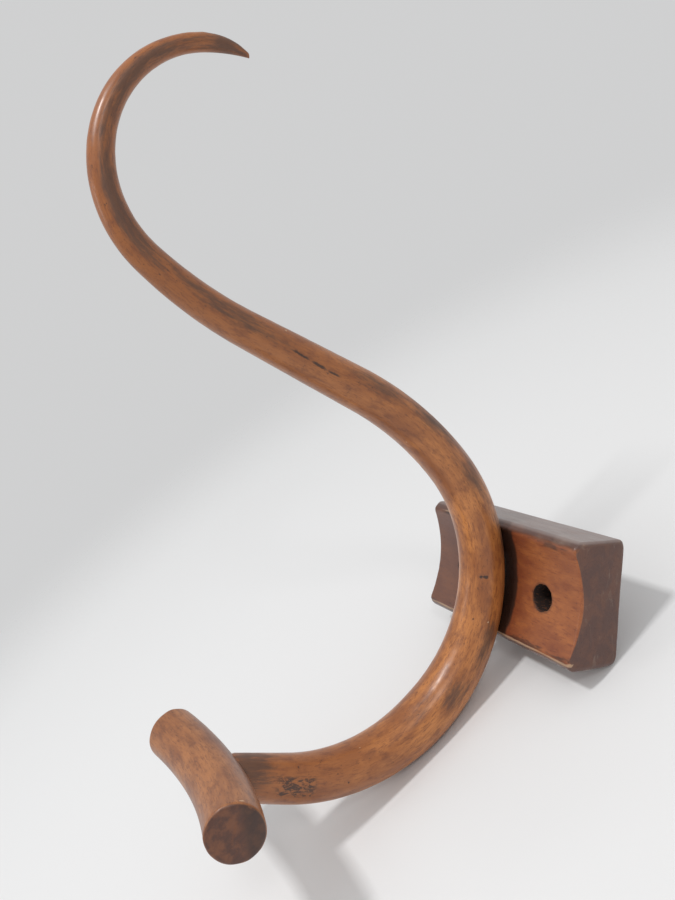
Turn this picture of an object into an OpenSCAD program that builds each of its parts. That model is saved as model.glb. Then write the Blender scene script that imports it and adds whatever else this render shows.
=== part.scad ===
// Bentwood wall hook for harness and horse collars.
// A steam-bent rod is screwed to a coved wall block and ends below in a curved crossbar.
// X is to the right, Y points into the wall and Z is up.
// The origin is the middle of the block's back face, where it meets the wall.

/* [Wall block] */
// Length of the block, from end to end
block_len = 147; // [110:1:220]
// Height of the block
block_h = 76; // [60:1:100]
// Thickness of the block at its two front ridges
block_t = 38; // [30:0.5:48]
// Depth of the hollow between the ridges
cove_depth = 7; // [3:0.5:10]
// Height of the sloped band above and below the ridges
bevel_h = 4; // [2:0.5:9]
// How far the sloped band runs back from a ridge
bevel_t = 4; // [2:0.5:9]
// Width of the worn flat along each ridge
ridge_flat = 1.5; // [0.5:0.25:3]
// Radius of the rounded long edges at the back
back_edge_r = 5; // [2:0.5:10]
// Rise of the gently domed end faces
end_crown = 1.5; // [0.5:0.25:3]

/* [Wall screw holes] */
// Distance between the two wall screw holes
wall_hole_spacing = 80; // [60:1:100]
// How far the wall screw holes lie below the block's middle
wall_hole_drop = 3; // [0:0.5:6]
// Diameter of the wall screw holes
wall_hole_d = 9; // [6:0.5:11]
// Diameter of the wider bore that takes a wall screw's head
counterbore_d = 17; // [13:0.5:24]
// Depth of that bore, from the bottom of the hollow
counterbore_depth = 14; // [8:0.5:18]

/* [Hook arm] */
// Diameter of the rod where it meets the crossbar
arm_end_d = 26; // [20:0.5:29]
// Diameter in the middle of the lower bowl, where the rod is thickest
bowl_d = 33; // [27:0.5:38]
// Diameter across the wall block
seat_d = 29; // [24:0.5:33]
// Diameter at the foot of the straight shank
shank_d = 25; // [18:0.5:28]
// Diameter where the upper hook begins
curl_d = 16.5; // [12:0.5:20]
// Diameter where the point begins
arm_tip_d = 9.5; // [6:0.5:11]
// Diameter of the blunt end of the point
point_d = 2; // [1:0.25:4]
// Length of the point
point_len = 36; // [20:1:44]
// Gap between the rod and the bottom of the hollow
cove_gap = 1.5; // [1:0.25:3]
// How far the rearmost place of the bowl lies below the block's middle
bowl_drop = 1; // [0:0.5:6]

/* [Hook arm bends] */
// Radius of the lower bowl, at the middle of the rod
bowl_r = 109; // [90:1:130]
// Bend of the bowl below its rearmost place, in degrees
bowl_low_angle = 102; // [90:1:115]
// Bend of the bowl above its rearmost place, in degrees
bowl_high_angle = 44; // [35:1:52]
// Straight length between the bowl and the middle of the crossbar
end_straight = 46; // [38:1:60]
// Radius of the bend above the block
shoulder_r = 205; // [150:5:270]
// Angle of that bend
shoulder_angle = 22; // [15:1:30]
// Length of the straight shank
shank_len = 75.5; // [50:0.5:120]
// Radius of the slow bend that starts the upper hook
sweep_r = 230; // [180:5:320]
// Angle of that slow bend
sweep_angle = 15.5; // [8:0.5:20]
// Radius of the upper hook
curl_r = 62; // [50:1:80]
// Angle of the upper hook
curl_angle = 129; // [100:1:145]
// Radius of the looser bend at the tip
curl_end_r = 90; // [60:5:130]
// Angle of that bend
curl_end_angle = 16; // [10:1:25]

/* [Crossbar] */
// Diameter of the crossbar
bar_d = 31.5; // [24:0.5:40]
// Length of the crossbar along its curve, from end face to end face
bar_len = 122; // [90:1:160]
// Radius of the crossbar's bend, at its middle
bar_bend_r = 240; // [150:5:400]
// Width of the worn edge round each end
bar_end_ease = 2; // [1:0.25:4]

/* [Dowel] */
// Diameter of the dowel between the arm and the crossbar
dowel_d = 12; // [8:0.5:16]
// Length of the dowel
dowel_len = 44; // [30:1:50]
// Depth of the dowel in the crossbar
dowel_bar_depth = 20; // [12:1:24]

/* [Arm screws] */
// Distance between the two screws that hold the arm
arm_screw_spacing = 36; // [26:1:44]
// Length of an arm screw
screw_len = 50; // [44:1:54]
// Diameter of the screw's plain shank and of its thread
screw_d = 4.8; // [3.5:0.1:6]
// Diameter of the countersunk head
screw_head_d = 9.2; // [7:0.2:12]
// Height of the head
screw_head_h = 2.8; // [2:0.1:4]
// Length of the screw's pointed end
screw_point_len = 7; // [4:0.5:10]
// Width of the slot in the head
slot_w = 1.3; // [0.8:0.1:1.6]
// Depth of the slot in the head
slot_depth = 1.3; // [0.8:0.1:1.6]
// Depth of the screw heads below the back face
head_sink = 0.4; // [0.2:0.1:1]

/* [Fits] */
// Clearance between the arm and its seats in the block
seat_clearance = 0.15; // [0.1:0.05:0.5]
// Clearance between the arm's hollowed end and the crossbar
cope_clearance = 0.1; // [0.05:0.05:0.5]
// Clearance round the dowel
dowel_clearance = 0.05; // [0.02:0.01:0.2]
// Space left at each end of the dowel
dowel_end_gap = 1; // [0.5:0.25:3]
// Clearance round the screws in the block
shank_clearance = 0.3; // [0.1:0.05:0.6]
// Clearance round the screws in the arm
thread_clearance = 0.05; // [0.02:0.01:0.1]

/* [Hidden] */
BEECH_BROWN = [0.46, 0.28, 0.18];
HONEY = [0.62, 0.37, 0.18];
AMBER = [0.55, 0.34, 0.19];
PALE_WOOD = [0.80, 0.66, 0.44];
STEEL = [0.50, 0.48, 0.45];
// Cutters pass the surfaces they cut by this much
past = 1;
$fn = 64;

// Ridges, hollow and bevels of the block's end profile
ridge_z = block_h / 2 - bevel_h;
cove_z = ridge_z - ridge_flat;
cove_r = (cove_z * cove_z + cove_depth * cove_depth) / (2 * cove_depth);
cove_bottom_y = -(block_t - cove_depth);

// Middle line of the arm: [y, z, heading], starting at the bowl's rearmost place
seat_y = cove_bottom_y - cove_gap - seat_d / 2;
seat_up = [seat_y, -bowl_drop, 90];
seat_down = [seat_y, -bowl_drop, -90];

// Stretches of the middle line: [radius, length], with 0 for straight and minus for a right-hand bend
function arc_len(r, angle) = r * angle * PI / 180;
upper_runs = [
    [bowl_r, arc_len(bowl_r, bowl_high_angle)],
    [shoulder_r, arc_len(shoulder_r, shoulder_angle)],
    [0, shank_len],
    [-sweep_r, arc_len(sweep_r, sweep_angle)],
    [-curl_r, arc_len(curl_r, curl_angle)],
    [-curl_end_r, arc_len(curl_end_r, curl_end_angle)]
];
lower_runs = [
    [-bowl_r, arc_len(bowl_r, bowl_low_angle)],
    [0, end_straight]
];
function total(runs, i = 0) = i == len(runs) ? 0 : runs[i][1] + total(runs, i + 1);
upper_len = total(upper_runs);
lower_len = total(lower_runs);

// The place reached after going a distance s along one stretch
function step_on(at, r, s) =
    r == 0
    ? [at[0] + s * cos(at[2]), at[1] + s * sin(at[2]), at[2]]
    : let (turned = at[2] + s / r * 180 / PI)
      [
          at[0] + r * (sin(turned) - sin(at[2])),
          at[1] - r * (cos(turned) - cos(at[2])),
          turned
      ];
// The place reached after going a distance s along a list of stretches
function along(at, runs, s, i = 0) =
    i == len(runs) - 1 || s <= runs[i][1]
    ? step_on(at, runs[i][0], s)
    : along(step_on(at, runs[i][0], runs[i][1]), runs, s - runs[i][1], i + 1);
// The middle line at a distance s above the seat, or below it where s is negative
function arm_at(s) =
    s >= 0
    ? along(seat_up, upper_runs, s)
    : along(seat_down, lower_runs, -s) + [0, 0, 180];

// Thickness along the arm, as [distance from the seat, diameter], with an even taper between
point_start = upper_len - point_len;
thickness = [
    [-lower_len, arm_end_d],
    [-lower_runs[0][1] / 2, bowl_d],
    [0, seat_d],
    [upper_runs[0][1] + upper_runs[1][1], shank_d],
    [upper_len - upper_runs[5][1] - upper_runs[4][1], curl_d],
    [point_start, arm_tip_d]
];
function arm_r_at(s) =
    let (pointed = max(s - point_start, 0) / point_len)
    (lookup(s, thickness) - (arm_tip_d - point_d) * pow(pointed, 3)) / 2;
// The point is cut from the outside of the hook, so its middle moves to the inside
function point_shift(s) = s > point_start ? arm_tip_d / 2 - arm_r_at(s) : 0;

sides = 24;
ring_gap = 8;
function ring(s, extra) =
    let (
        at = arm_at(s),
        r = arm_r_at(s) + extra,
        across = [-sin(at[2]), cos(at[2])],
        middle = [at[0], at[1]] - point_shift(s) * across
    )
    [
        for (k = [0 : sides - 1])
            let (
                turn = 360 * k / sides,
                out = middle + r * sin(turn) * across
            )
            [r * cos(turn), out[0], out[1]]
    ];

// Heading of the arm's straight end, and its meeting with the crossbar
end_at = along(seat_down, lower_runs, lower_len);
bar_r = bar_d / 2;
bar_half_angle = bar_len / 2 / bar_bend_r * 180 / PI;
dowel_front = dowel_bar_depth - bar_r;

// Screws: each starts at the back face and runs forward
screw_z = [-arm_screw_spacing / 2, arm_screw_spacing / 2];

// Points of an arc, from one angle to another
function arc_points(centre, r, from, to, count = 10) = [
    for (k = [0 : count])
        let (a = from + (to - from) * k / count)
        centre + r * [cos(a), sin(a)]
];

// End profile of the block: first coordinate forward, second up
module block_profile() {
    back_z = block_h / 2 - back_edge_r;
    upper_back = arc_points([back_edge_r, back_z], back_edge_r, 180, 90);
    lower_back = arc_points([back_edge_r, -back_z], back_edge_r, 270, 180);
    front = block_t - bevel_t;
    difference() {
        polygon(concat(
            upper_back,
            [[front, block_h / 2], [block_t, ridge_z], [block_t, -ridge_z], [front, -block_h / 2]],
            lower_back
        ));
        translate([block_t - cove_depth + cove_r, 0]) circle(r = cove_r, $fn = 180);
    }
}

// Plan of the block: a bar with gently domed ends
module block_plan() {
    half_t = block_t / 2;
    dome_r = (half_t * half_t + end_crown * end_crown) / (2 * end_crown);
    intersection() {
        translate([-block_len / 2 - past, -block_t - past])
            square([block_len + 2 * past, block_t + 2 * past]);
        translate([dome_r - block_len / 2, -half_t]) circle(r = dome_r, $fn = 180);
        mirror([1, 0]) translate([dome_r - block_len / 2, -half_t]) circle(r = dome_r, $fn = 180);
    }
}

// Moves to the end of the arm, with Y running on along it
module at_arm_end() {
    translate([0, end_at[0], end_at[1]]) rotate([end_at[2], 0, 0]) children();
}

// The arm's rod between two places along it, thicker all round by extra
module swept_rod(from, to, extra = 0) {
    ring_count = round((to - from) / ring_gap);
    rings = [for (k = [0 : ring_count]) ring(from + (to - from) * k / ring_count, extra)];
    side_faces = [
        for (k = [0 : ring_count - 1], j = [0 : sides - 1])
            let (next = (j + 1) % sides)
            [k * sides + j, k * sides + next, (k + 1) * sides + next, (k + 1) * sides + j]
    ];
    first_cap = [for (j = [sides - 1 : -1 : 0]) j];
    last_cap = [for (j = [0 : sides - 1]) ring_count * sides + j];
    polyhedron(
        points = [for (one = rings) each one],
        faces = concat([first_cap], side_faces, [last_cap]),
        convexity = 6
    );
}

// A round bar along Y, from one Y to another
module rod_y(r, from, to) {
    translate([0, from, 0]) rotate([-90, 0, 0]) cylinder(r = r, h = to - from);
}

module bar_curve(r) {
    translate([0, bar_bend_r, 0])
        rotate([0, 0, -90 - bar_half_angle])
            rotate_extrude(angle = 2 * bar_half_angle, $fn = 180)
                translate([bar_bend_r, 0]) circle(r = r, $fn = 48);
}

module wall_block() {
    color(BEECH_BROWN)
    difference() {
        intersection() {
            rotate([90, 0, -90])
                linear_extrude(height = block_len, center = true) block_profile();
            linear_extrude(height = block_h + 2 * past, center = true) block_plan();
        }
        // seats for the arm, in both ridges
        swept_rod(-block_h, block_h, seat_clearance);
        // wall screw holes with their counterbores
        for (side = [-1, 1])
            translate([side * wall_hole_spacing / 2, 0, -wall_hole_drop]) {
                rod_y(wall_hole_d / 2, -block_t - past, past);
                rod_y(counterbore_d / 2, -block_t - past, cove_bottom_y + counterbore_depth);
            }
        // holes and countersinks for the arm screws
        for (z = screw_z)
            translate([0, 0, z]) {
                rod_y(screw_d / 2 + shank_clearance, -block_t - past, past);
                rotate([90, 0, 0]) countersink();
            }
    }
}

// Opening for a screw head, with its mouth at the origin and its depth along Z
module countersink() {
    mouth_r = screw_head_d / 2 + shank_clearance;
    translate([0, 0, -past]) cylinder(r = mouth_r, h = past + head_sink);
    translate([0, 0, head_sink])
        cylinder(r1 = mouth_r, r2 = screw_d / 2 + shank_clearance, h = screw_head_h);
}

module hook_arm() {
    color(HONEY)
    difference() {
        swept_rod(-lower_len, upper_len);
        // hollowed end that fits round the crossbar, and the dowel's hole
        at_arm_end() {
            bar_curve(bar_r + cope_clearance);
            rod_y(dowel_d / 2 + dowel_clearance, dowel_front - dowel_len - dowel_end_gap, 0);
        }
        // holes for the arm screws
        for (z = screw_z)
            translate([0, 0, z])
                rod_y(screw_d / 2 + thread_clearance, -screw_len - head_sink - past, 0);
    }
}

module crossbar() {
    color(AMBER)
    at_arm_end()
    difference() {
        bar_curve(bar_r);
        for (side = [-1, 1])
            translate([0, bar_bend_r, 0])
                rotate([0, 0, side * bar_half_angle])
                    translate([0, -bar_bend_r, 0])
                        rotate([0, side * 90, 0]) end_edge();
        rod_y(dowel_d / 2 + dowel_clearance, -bar_d, dowel_front + dowel_end_gap);
    }
}

// What is worn off round an end of the crossbar, with the end at the origin and Z pointing out
module end_edge() {
    difference() {
        translate([0, 0, -2 * bar_end_ease])
            cylinder(r = bar_r + 2 * bar_end_ease, h = 2 * bar_end_ease + past);
        translate([0, 0, -2 * bar_end_ease])
            cylinder(r1 = bar_r + bar_end_ease, r2 = bar_r - bar_end_ease, h = 2 * bar_end_ease);
        cylinder(r = bar_r - bar_end_ease, h = 2 * past);
    }
}

module crossbar_dowel() {
    color(PALE_WOOD)
    at_arm_end()
    rod_y(dowel_d / 2, dowel_front - dowel_len, dowel_front);
}

// Slotted countersunk wood screw: head at the back face, point along Z
module wood_screw() {
    shank_end = screw_len - screw_point_len;
    difference() {
        union() {
            cylinder(r1 = screw_head_d / 2, r2 = screw_d / 2, h = screw_head_h);
            cylinder(r = screw_d / 2, h = shank_end);
            translate([0, 0, shank_end]) cylinder(r1 = screw_d / 2, r2 = 0.2, h = screw_point_len);
        }
        translate([-screw_head_d, -slot_w / 2, -past])
            cube([2 * screw_head_d, slot_w, slot_depth + past]);
    }
}

module arm_screws() {
    color(STEEL)
    for (z = screw_z)
        translate([0, -head_sink, z]) rotate([90, 0, 0]) wood_screw();
}

wall_block();
hook_arm();
crossbar();
crossbar_dowel();
arm_screws();
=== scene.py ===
import itertools

import bpy
import numpy as np
from mathutils import Matrix, Vector


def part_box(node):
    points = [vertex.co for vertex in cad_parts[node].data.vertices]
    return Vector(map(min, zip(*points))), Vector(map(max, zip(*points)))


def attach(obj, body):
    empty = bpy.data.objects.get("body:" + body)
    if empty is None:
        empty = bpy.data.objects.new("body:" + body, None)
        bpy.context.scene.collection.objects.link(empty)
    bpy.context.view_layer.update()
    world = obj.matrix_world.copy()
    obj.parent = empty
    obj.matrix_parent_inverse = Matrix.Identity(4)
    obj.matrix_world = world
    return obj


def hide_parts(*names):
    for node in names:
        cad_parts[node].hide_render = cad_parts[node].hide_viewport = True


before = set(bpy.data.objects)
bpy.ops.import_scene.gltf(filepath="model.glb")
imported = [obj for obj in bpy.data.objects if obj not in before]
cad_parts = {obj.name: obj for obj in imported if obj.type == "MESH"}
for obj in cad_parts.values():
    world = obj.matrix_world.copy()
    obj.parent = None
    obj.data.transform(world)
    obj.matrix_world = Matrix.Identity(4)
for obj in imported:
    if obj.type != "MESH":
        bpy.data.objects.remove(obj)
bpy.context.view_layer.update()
mm = 0.001


# ---- The bent arm ----------------------------------------------------------------------------
# One beech rod, shaved to a taper, steamed and bent in one plane round a former, then varnished.
# Its lower end is hollowed to sit on the crossbar, and two screws through the block hold it.

seat_d = 29 * mm  # thickness where the arm crosses the block
cove_depth = 7 * mm
cove_gap = 1.5 * mm
bowl_drop = 1 * mm
block_low, block_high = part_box("wall_block")
cove_bottom_y = block_low.y + cove_depth
seat_at = (cove_bottom_y - cove_gap - seat_d / 2, -bowl_drop)

# Bends away from the seat: radius and degrees, or no radius and a length. Minus bends to the right.
bends_up = ((109, 44), (205, 22), (0, 75.5), (-230, 15.5), (-62, 129), (-90, 16))
bends_down = ((-109, 102), (0, 46))


def stretches(bends):
    """Radius and length of every bend, in metres: an arc is as long as its radius times its angle."""
    return [(r * mm, abs(r) * mm * np.radians(a) if r else a * mm) for r, a in bends]


def follow(bends, heading, distance):
    """Y, Z and heading of the middle line at each distance from the seat. The line is a chain of arcs
    and straights: on an arc the heading grows by distance over radius, and the point goes round with it."""
    y = np.full_like(distance, seat_at[0])
    z = np.full_like(distance, seat_at[1])
    turned = np.full_like(distance, np.radians(heading))
    left = distance.copy()
    for radius, length in stretches(bends):
        step = np.clip(left, 0, length)
        if radius:
            new = turned + step / radius
            y += radius * (np.sin(new) - np.sin(turned))
            z -= radius * (np.cos(new) - np.cos(turned))
            turned = new
        else:
            y += step * np.cos(turned)
            z += step * np.sin(turned)
        left = left - step
    return y, z, turned


upper_len = sum(length for _, length in stretches(bends_up))
lower_len = sum(length for _, length in stretches(bends_down))


def middle_line(s):
    """Y, Z and heading at a signed distance from the seat, positive towards the upper hook."""
    up = follow(bends_up, 90, np.maximum(s, 0))
    down = follow(bends_down, -90, np.maximum(-s, 0))
    above = s >= 0
    heading = np.where(above, up[2], down[2] + np.pi)
    return np.where(above, up[0], down[0]), np.where(above, up[1], down[1]), heading


point_len = 36 * mm
tip_d = 9.5 * mm
point_d = 2 * mm
point_start = upper_len - point_len
bowl_len = stretches(bends_down)[0][1]
shoulder_end = sum(length for _, length in stretches(bends_up)[:2])
curl_start = upper_len - sum(length for _, length in stretches(bends_up)[4:])
# Thickness along the arm in millimetres, thickest in the bowl
taper_at = (-lower_len, -bowl_len / 2, 0, shoulder_end, curl_start, point_start)
taper_d = (26, 33, 29, 25, 16.5, 9.5)


taper_blend = 8 * mm
nose_closing = 0.97  # how far the very end closes, short of a ring with no size


def arm_radius(s):
    """Half the thickness at a distance s: an even taper, averaged over a short length so that it
    has no corners, less a cubic fall along the point and a quarter round at its very end."""
    reach = np.linspace(-taper_blend, taper_blend, 9)
    even = np.interp(s[..., None] + reach, taper_at, taper_d).mean(-1) * mm
    pointed = np.clip((s - point_start) / point_len, 0, 1)
    r = (even - (tip_d - point_d) * pointed**3) / 2
    nose = np.clip((s - upper_len) / (point_d / 2) + 1, 0, 1)
    return r * np.sqrt(1 - nose_closing * nose**2)


lattice = 32  # corners along each side of the random lattice


def unevenness(points, size, seed):
    """A smooth random height from -1 to 1: random numbers at the corners of a lattice of cubes,
    blended inside each cube with a smooth step."""
    corners = np.random.default_rng(seed).uniform(-1, 1, (lattice, lattice, lattice))
    scaled = np.asarray(points) / size
    low = np.floor(scaled).astype(int)
    part = scaled - low
    part = part * part * (3 - 2 * part)
    total = np.zeros(part.shape[:-1])
    for corner in itertools.product((0, 1), repeat=3):
        share = np.where(np.array(corner) == 1, part, 1 - part).prod(-1)
        cell = (low + corner) % lattice
        total += share * corners[cell[..., 0], cell[..., 1], cell[..., 2]]
    return total


def ring_faces(ring_count, sides):
    """Four-sided faces that join every ring to the next, by the numbers of their corners."""
    i, j = np.meshgrid(np.arange(ring_count - 1), np.arange(sides), indexing="ij")
    a, b = i * sides + j, i * sides + (j + 1) % sides
    return np.stack([a, b, b + sides, a + sides], -1).reshape(-1, 4)


def shell(name, rings, marks=None):
    """A closed skin over a stack of rings, an array of (ring, place round it, 3). Each ring closes on
    itself, and a point at the middle of the first and last ring closes the ends. The faces are
    turned round if the volume they enclose comes out negative. marks holds per-point values."""
    ring_count, sides = rings.shape[:2]
    points = np.concatenate([rings.reshape(-1, 3), rings[:1].mean(1), rings[-1:].mean(1)])
    quads = ring_faces(ring_count, sides)
    k = np.arange(sides)
    last = (ring_count - 1) * sides
    first_fan = np.stack([(k + 1) % sides, k, np.full(sides, len(points) - 2)], -1)
    last_fan = np.stack([last + k, last + (k + 1) % sides, np.full(sides, len(points) - 1)], -1)
    tris = np.concatenate([quads[:, [0, 1, 2]], quads[:, [0, 2, 3]], first_fan, last_fan])
    p = points[tris]
    if np.einsum("ij,ij->i", p[:, 0], np.cross(p[:, 1], p[:, 2])).sum() < 0:
        quads, first_fan, last_fan = quads[:, ::-1], first_fan[:, ::-1], last_fan[:, ::-1]
    mesh = bpy.data.meshes.new(name)
    faces = [*quads.tolist(), *first_fan.tolist(), *last_fan.tolist()]
    mesh.from_pydata(points.tolist(), [], faces)
    for label, values in (marks or {}).items():
        per_ring = values.reshape(ring_count, sides, -1)
        skin = per_ring.reshape(ring_count * sides, -1)
        flat = np.concatenate([skin, per_ring[:1].mean(1), per_ring[-1:].mean(1)]).astype(np.float32)
        kind, field = ("FLOAT_VECTOR", "vector") if flat.shape[1] == 3 else ("FLOAT", "value")
        mesh.attributes.new(label, kind, "POINT").data.foreach_set(field, flat.ravel())
    made = bpy.data.objects.new(name, mesh)
    bpy.context.scene.collection.objects.link(made)
    return made


def cut(piece, cutters):
    """Takes the cutters out of the piece, keeps the result as its mesh, and removes the cutters."""
    for cutter in cutters:
        step = piece.modifiers.new("cut", "BOOLEAN")
        step.solver = "EXACT"
        step.object = cutter
    bpy.context.view_layer.update()
    graph = bpy.context.evaluated_depsgraph_get()
    solid = bpy.data.meshes.new_from_object(piece.evaluated_get(graph))
    solid.name = piece.name
    piece.modifiers.clear()
    piece.data = solid
    for cutter in cutters:
        bpy.data.objects.remove(cutter)


def smooth(piece, sharp_degrees):
    """Smooth shading that breaks at edges sharper than the angle."""
    piece.data.polygons.foreach_set("use_smooth", np.ones(len(piece.data.polygons), bool))
    piece.data.set_sharp_from_angle(angle=np.radians(sharp_degrees))


def turned_rod(name, profile, sides=48, rim=None):
    """A cutter or peg turned about Y: profile lists (y, radius), rim adds to the radius round it."""
    y, r = np.array(profile).T
    turn = np.linspace(0, 2 * np.pi, sides, endpoint=False)
    radius = r[:, None] * np.ones(sides) + (0 if rim is None else rim(y[:, None], turn))
    rings = np.stack([radius * np.cos(turn), y[:, None] + 0 * turn, radius * np.sin(turn)], -1)
    return shell(name, rings)


def moved(piece, x=0, z=0):
    """The piece, with its mesh shifted across the wall."""
    piece.data.transform(Matrix.Translation((x, 0, z)))
    return piece


bar_d = 31.5 * mm
bar_bend_r = 240 * mm
cope_gap = 0.12 * mm
cope_from = -205 * mm  # the straight end is measured anew from here to the hollowed rim


def bar_skin(x, across, gap):
    """How far the crossbar's near side lies along the arm's end heading, measured from the bar's
    middle, at a place x to the right and across the arm. The bar is a bent rod, so it is a torus:
    its ring's radius there is the bend plus the height of the round section."""
    height = np.sqrt(np.maximum((bar_d / 2 + gap) ** 2 - across**2, 0))
    return bar_bend_r - np.sqrt((bar_bend_r + height) ** 2 - x**2)


def arm_rings(s, turn, extra):
    """Points of the rod at distances s and angles turn, thicker all round by extra: a circle in the
    plane across the middle line. The point's middle moves to the inside of the hook, because it
    was cut from the outside. Also gives the place in the straight rod before it was bent."""
    y, z, heading = middle_line(s)
    r = arm_radius(s) + extra
    inward = np.where(s > point_start, tip_d / 2 - r, 0)
    out = r * np.sin(turn) - inward
    x = r * np.cos(turn)
    points = np.stack([x, y - out * np.sin(heading), z + out * np.cos(heading)], -1)
    return points, np.stack([s, x, r * np.sin(turn)], -1)


# Dents as (distance from the seat, degrees round the rod from its right side, width, depth) in mm
dents = (
    (6.2, 38, 2.8, 0.8),
    (6.0, 24, 3.2, 0.8),
    (6.1, 31, 2.2, 0.45),
    (-23.5, 45, 1.8, 0.5),
    (-193, 51, 1.8, 0.5),
    (-161, -1, 1.8, 0.45),
    (-190, 12, 3.0, 0.3),
    (-197, 22, 2.4, 0.3),
    (150, 10, 2.0, 0.25),
    (262, 35, 2.2, 0.2),
    (338, 60, 1.8, 0.2),
    (96, 110, 2.2, 0.3),
    (-120, 150, 2.4, 0.3),
)
# Varnish flaked off, as (distance, degrees, width) in mm
flakes = ((-23, 8, 1.7), (219, -53, 1.7), (-157, 73, 1.5), (-147, 64, 1.5), (120, 60, 1.3))
# Grime, and along the curl painted shade, as (distance, degrees, half length in mm, half width in
# degrees, strength)
grime_and_shade_patches = (
    (155, -28, 28, 26, 0.75),
    (113, -40, 26, 30, 0.85),
    (72, -20, 24, 38, 0.7),
    (35, -45, 26, 40, 0.6),
    (-38, -6, 22, 24, 0.8),
    (-74, 12, 16, 30, 0.75),
    (-98, 48, 18, 26, 0.45),
    (-150, -40, 40, 30, 0.4),
    (-221, 60, 16, 80, 1),
    (-222, 10, 8, 80, 0.6),
    (250, -14, 50, 30, 0.8),
    # these two darken the curl's inner side, which is turned from the lamp: partly dirt, partly painted
    # shade
    (330, -8, 52, 40, 1),
    (402, -10, 46, 46, 1),
    (452, 0, 18, 180, 0.9),
    (205, 190, 60, 40, 0.5),
)


def round_distance(turn, degrees):
    """Angle between two places round the rod, the short way, in degrees."""
    return (np.degrees(turn) - degrees + 180) % 360 - 180


rod_sides = 96
arm_step = 1.1 * mm
arm_turns = np.linspace(0, 2 * np.pi, rod_sides, endpoint=False)
arm_stations = np.arange(-lower_len, upper_len - point_d / 2, arm_step)
nose_stations = upper_len - point_d / 2 * (1 - np.sin(np.linspace(0, np.pi / 2, 7)))
arm_stations = np.concatenate([arm_stations, nose_stations])
s_grid, turn_grid = np.meshgrid(arm_stations, arm_turns, indexing="ij")

# The hollowed end: distances past cope_from are stretched to end on the crossbar's skin
end_r = taper_d[0] * mm / 2
rim_at = -lower_len - bar_skin(end_r * np.cos(arm_turns), end_r * np.sin(arm_turns), cope_gap)
share = np.clip((s_grid - cope_from) / (-lower_len - cope_from), 0, 1)
s_grid = np.where(share > 0, cope_from + share * (rim_at - cope_from), s_grid)
straight = arm_rings(s_grid, turn_grid, 0)[1]


def spot(at, degrees, width):
    """1 at a place on the rod and falling to nothing round it, as a bell about as wide as asked."""
    sideways = np.radians(round_distance(turn_grid, degrees)) * arm_radius(s_grid)
    return np.exp(-(((s_grid - at * mm) ** 2 + sideways**2) / (width * mm / 2) ** 2))


blackened_at = 0.4  # a dent this deep in mm is fully dark
dent_depth = np.zeros_like(s_grid)
dent_mark = np.zeros_like(s_grid)
for at, degrees, width, depth in dents:
    near = spot(at, degrees, width)
    dent_depth += depth * mm * near
    dent_mark = np.maximum(dent_mark, near * min(1, depth / blackened_at))
flaked = sum(spot(*flake) for flake in flakes)
grime_and_shade = np.zeros_like(s_grid)
for at, degrees, half_len, half_width, strength in grime_and_shade_patches:
    along = (s_grid - at * mm) / (half_len * mm)
    aside = round_distance(turn_grid, degrees) / half_width
    grime_and_shade = np.maximum(grime_and_shade, strength * np.exp(-(along**2) - aside**2))
# Spokeshave flats and old knocks leave the rod a little out of round, but for its very tip, and the
# rim of the hollowed end is eased
shave_depth, shave_size = 0.12 * mm, 5 * mm
knock_depth, knock_size = 0.05 * mm, 2.2 * mm
rim_ease, rim_ease_reach = 0.45 * mm, 0.9 * mm
clean_tip = 4 * mm
shaved = shave_depth * unevenness(straight * (0.12, 1, 1), shave_size, 3)
knocks = knock_depth * unevenness(straight * (0.6, 1, 1), knock_size, 4)
eased_rim = rim_ease * np.exp(-(((s_grid - rim_at) / rim_ease_reach) ** 2))
fade_nose = np.clip((upper_len - s_grid) / clean_tip, 0, 1)
uneven_skin = (shaved + knocks - dent_depth) * fade_nose - eased_rim
arm_points, straight = arm_rings(s_grid, turn_grid, uneven_skin)

# Inside the rim the end follows the crossbar's skin to the middle, in ever smaller rings
inner = np.linspace(0, 1, 9)[1:, None] * (end_r - rim_ease)
cap_x, cap_across = inner * np.cos(arm_turns), inner * np.sin(arm_turns)
cap_s = -lower_len - bar_skin(cap_x, cap_across, cope_gap)
cap_y, cap_z, cap_heading = middle_line(cap_s)
cap = np.stack(
    [cap_x, cap_y - cap_across * np.sin(cap_heading), cap_z + cap_across * np.cos(cap_heading)], -1
)
cap_straight = np.stack([cap_s, cap_x, cap_across], -1)


def with_cap(body, inside):
    """The rings of the hollowed end, from its middle out, and then those along the rod."""
    return np.concatenate([inside, body])


glue_grime = 0.6  # how dirty the hollowed end is
arm = shell(
    "bent_arm",
    with_cap(arm_points, cap),
    {
        "unbent": with_cap(straight, cap_straight),
        "grime_and_shade": with_cap(grime_and_shade, 0 * cap_s + glue_grime),
        "dents": with_cap(dent_mark, 0 * cap_s),
        "flaked": with_cap(flaked, 0 * cap_s),
    },
)

# Holes in the arm: the dowel's, from the hollowed end, and the two screws' from the back
dowel_hole_r = 6.1 * mm
dowel_hole_bottom = -26 * mm
screw_hole_bottom = -51.4 * mm
screw_slack = 0.05 * mm
screw_r = 2.4 * mm
screw_z = (-18 * mm, 18 * mm)
# What is made about the arm's end, with Y running on along the arm, is turned and moved to that end
end_y, end_z, end_heading = (float(v[0]) for v in middle_line(np.array([-lower_len])))
to_arm_end = Matrix.Translation((0, end_y, end_z)) @ Matrix.Rotation(end_heading + np.pi, 4, "X")
dowel_hole = turned_rod("dowel_hole", [(dowel_hole_bottom, dowel_hole_r), (0, dowel_hole_r)])
dowel_hole.data.transform(to_arm_end)
screw_hole = [(screw_hole_bottom, screw_r + screw_slack), (0, screw_r + screw_slack)]
screw_holes = [moved(turned_rod("screw_hole", screw_hole), z=z) for z in screw_z]
cut(arm, [dowel_hole, *screw_holes])
smooth(arm, 40)


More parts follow.
